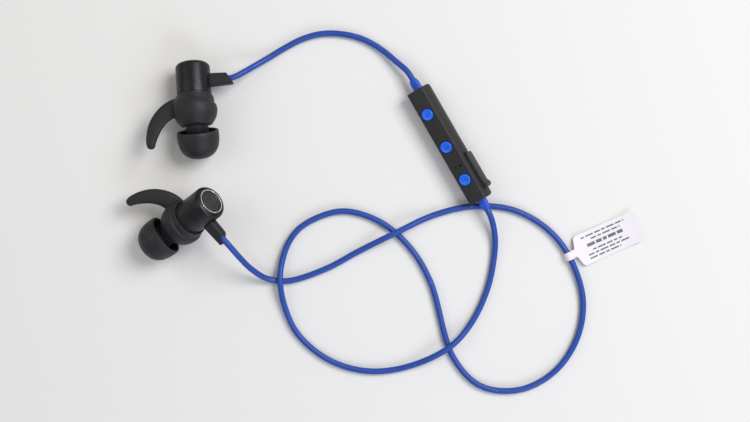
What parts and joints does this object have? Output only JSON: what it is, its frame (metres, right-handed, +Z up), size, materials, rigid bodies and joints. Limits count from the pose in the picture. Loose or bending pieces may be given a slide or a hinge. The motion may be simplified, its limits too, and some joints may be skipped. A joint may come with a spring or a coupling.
{
  "type": "neckband earphones",
  "caption": "Wireless sports earphones with metal earbuds, silicone tips and ear wings, joined by a cord with a button remote.",
  "frame": {"origin": "on the surface the earphones lie on, under the middle of the box round the two earbuds and the remote", "axes": "+X from the earbuds towards the remote, +Y from the left earbud towards the right one, +Z up"},
  "size_m": [0.1791, 0.1268, 0.0235],
  "materials": {
    "anodised_metal": "satin black anodised",
    "bright_ring": "diamond-cut bright edge",
    "housing": "fine matte black plastic",
    "silicone": "matte silicone",
    "cord_jacket": "soft blue elastomer",
    "strain_relief": "soft blue rubber",
    "button_cap": "satin blue plastic",
    "label": "coated white paper",
    "circuit": "green solder mask",
    "bare_metal": "plain",
    "gilt": "gold plated",
    "cell": "foil pouch",
    "film": "thin polymer film",
    "lens": "clear acrylic"
  },
  "bodies": {
    "earphones": {"right_barrel": "anodised_metal", "right_trim_ring": "bright_ring", "right_back_cap": "anodised_metal", "right_front_housing": "housing", "right_driver_frame": "bare_metal", "right_driver_magnet": "bare_metal", "right_driver_diaphragm": "film", "right_nozzle_mesh": "bare_metal", "right_cable_arm": "silicone", "left_barrel": "anodised_metal", "left_trim_ring": "bright_ring", "left_back_cap": "anodised_metal", "left_front_housing": "housing", "left_driver_frame": "bare_metal", "left_driver_magnet": "bare_metal", "left_driver_diaphragm": "film", "left_nozzle_mesh": "bare_metal", "left_cable_arm": "silicone", "remote_top_shell": "housing", "remote_bottom_shell": "housing", "circuit_board": "circuit", "bluetooth_chip": "housing", "battery_cell": "cell", "volume_up_switch_base": "bare_metal", "play_switch_base": "bare_metal", "volume_down_switch_base": "bare_metal", "microphone": "gilt", "microphone_gasket": "silicone", "status_led": "lens", "light_pipe": "lens", "usb_receptacle": "bare_metal", "usb_tongue": "housing", "upper_strain_relief": "strain_relief", "lower_strain_relief": "strain_relief", "upper_cord": "cord_jacket", "lower_cord": "cord_jacket", "cord_tag": "label"},
    "volume_up": {"volume_up_button": "button_cap", "volume_up_switch_plunger": "circuit"},
    "play": {"play_button": "button_cap", "play_switch_plunger": "circuit"},
    "volume_down": {"volume_down_button": "button_cap", "volume_down_switch_plunger": "circuit"},
    "door": {"port_door": "housing"},
    "right_tip": {"right_ear_tip": "silicone"},
    "left_tip": {"left_ear_tip": "silicone"},
    "right_wing": {"right_ear_wing": "silicone"},
    "left_wing": {"left_ear_wing": "silicone"}
  },
  "joints": [
    {"name": "volume_up_press", "type": "slide", "parent": "earphones", "child": "volume_up", "axis": [0.4203, 0.2417, -0.8746], "range_m": [0, 0.0003], "stiffness_N_per_m": 3000},
    {"name": "play_press", "type": "slide", "parent": "earphones", "child": "play", "axis": [0.4203, 0.2417, -0.8746], "range_m": [0, 0.0003], "stiffness_N_per_m": 3000},
    {"name": "volume_down_press", "type": "slide", "parent": "earphones", "child": "volume_down", "axis": [0.4203, 0.2417, -0.8746], "range_m": [0, 0.0003], "stiffness_N_per_m": 3000},
    {"name": "port_door_hinge", "type": "hinge", "parent": "earphones", "child": "door", "pos_m": [0.05456, 0.00259, 0.00642], "axis": [-0.4203, -0.2417, 0.8746], "range_deg": [0, 100]},
    {"name": "right_tip_pull", "type": "slide", "parent": "earphones", "child": "right_tip", "axis": [0.0869, -0.9743, -0.2079], "range_m": [0, 0.004]},
    {"name": "left_tip_pull", "type": "slide", "parent": "earphones", "child": "left_tip", "axis": [-0.8109, -0.547, -0.2079], "range_m": [0, 0.004]},
    {"name": "right_wing_turn", "type": "hinge", "parent": "earphones", "child": "right_wing", "pos_m": [-0.03929, 0.01744, 0.0093], "axis": [-0.0866, 0.9705, -0.225], "range_deg": [0, 20]},
    {"name": "left_wing_turn", "type": "hinge", "parent": "earphones", "child": "left_wing", "pos_m": [-0.04349, -0.02146, 0.00935], "axis": [0.6621, 0.4466, 0.6018], "range_deg": [0, 20]}
  ]
}
